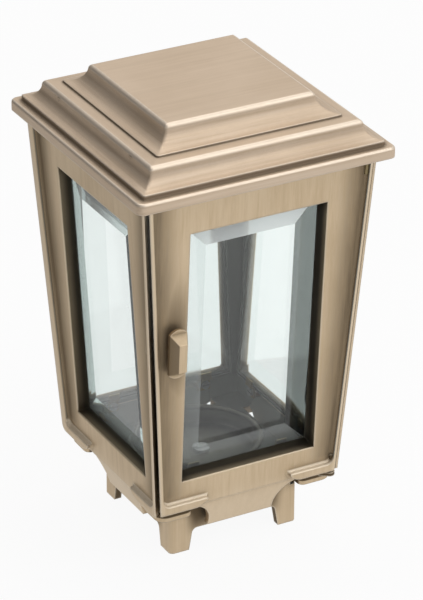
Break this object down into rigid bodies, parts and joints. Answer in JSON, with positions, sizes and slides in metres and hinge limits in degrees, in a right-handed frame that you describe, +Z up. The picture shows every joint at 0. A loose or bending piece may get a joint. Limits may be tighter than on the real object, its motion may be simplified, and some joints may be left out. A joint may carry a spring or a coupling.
{
  "type": "grave lantern",
  "caption": "Square tapering grave lantern in cast bronze with a stepped roof, bevelled panes, a hinged front door with a turning latch and a candle dish",
  "frame": {"origin": "on the ground under the middle of the lantern", "axes": "+Z is up, the door faces -Y, and +X is to the right of someone who looks at the door"},
  "size_m": [0.14, 0.14, 0.24],
  "materials": {
    "cast_bronze": "satin brushed, patinated",
    "brass_fittings": "satin",
    "steel_screws": "plain",
    "clear_glass": "polished, bevelled"
  },
  "bodies": {
    "lantern_body": {"roof": "cast_bronze", "base_casting": "cast_bronze", "left_panel": "cast_bronze", "right_panel": "cast_bronze", "rear_panel": "cast_bronze", "lower_hinge_pin": "brass_fittings", "lower_pivot_plate": "brass_fittings", "pivot_washer": "brass_fittings", "candle_dish": "brass_fittings", "left_glass_clips": "brass_fittings", "right_glass_clips": "brass_fittings", "rear_glass_clips": "brass_fittings", "roof_screws": "steel_screws", "base_screws": "steel_screws", "pivot_plate_screws": "steel_screws", "dish_screw": "steel_screws", "dish_nut": "steel_screws", "left_clip_screws": "steel_screws", "right_clip_screws": "steel_screws", "rear_clip_screws": "steel_screws", "left_glass": "clear_glass", "right_glass": "clear_glass", "rear_glass": "clear_glass"},
    "door": {"door_frame": "cast_bronze", "door_glass": "clear_glass", "door_glass_clips": "brass_fittings", "door_clip_screws": "steel_screws", "upper_hinge_pin": "brass_fittings", "latch_bush": "brass_fittings"},
    "latch": {"latch_grip": "cast_bronze", "latch_spindle": "brass_fittings", "latch_tongue": "brass_fittings", "latch_washer": "brass_fittings", "latch_screw": "steel_screws"}
  },
  "joints": [
    {"name": "door_hinge", "type": "hinge", "parent": "lantern_body", "child": "door", "pos_m": [0.05318, -0.05519, 0.122], "axis": [0.0643, -0.0643, 0.9959], "range_deg": [0, 110]},
    {"name": "latch_turn", "type": "hinge", "parent": "door", "child": "latch", "pos_m": [-0.0445, -0.05834, 0.128], "axis": [0, -0.9979, -0.0645], "range_deg": [0, 90]}
  ]
}
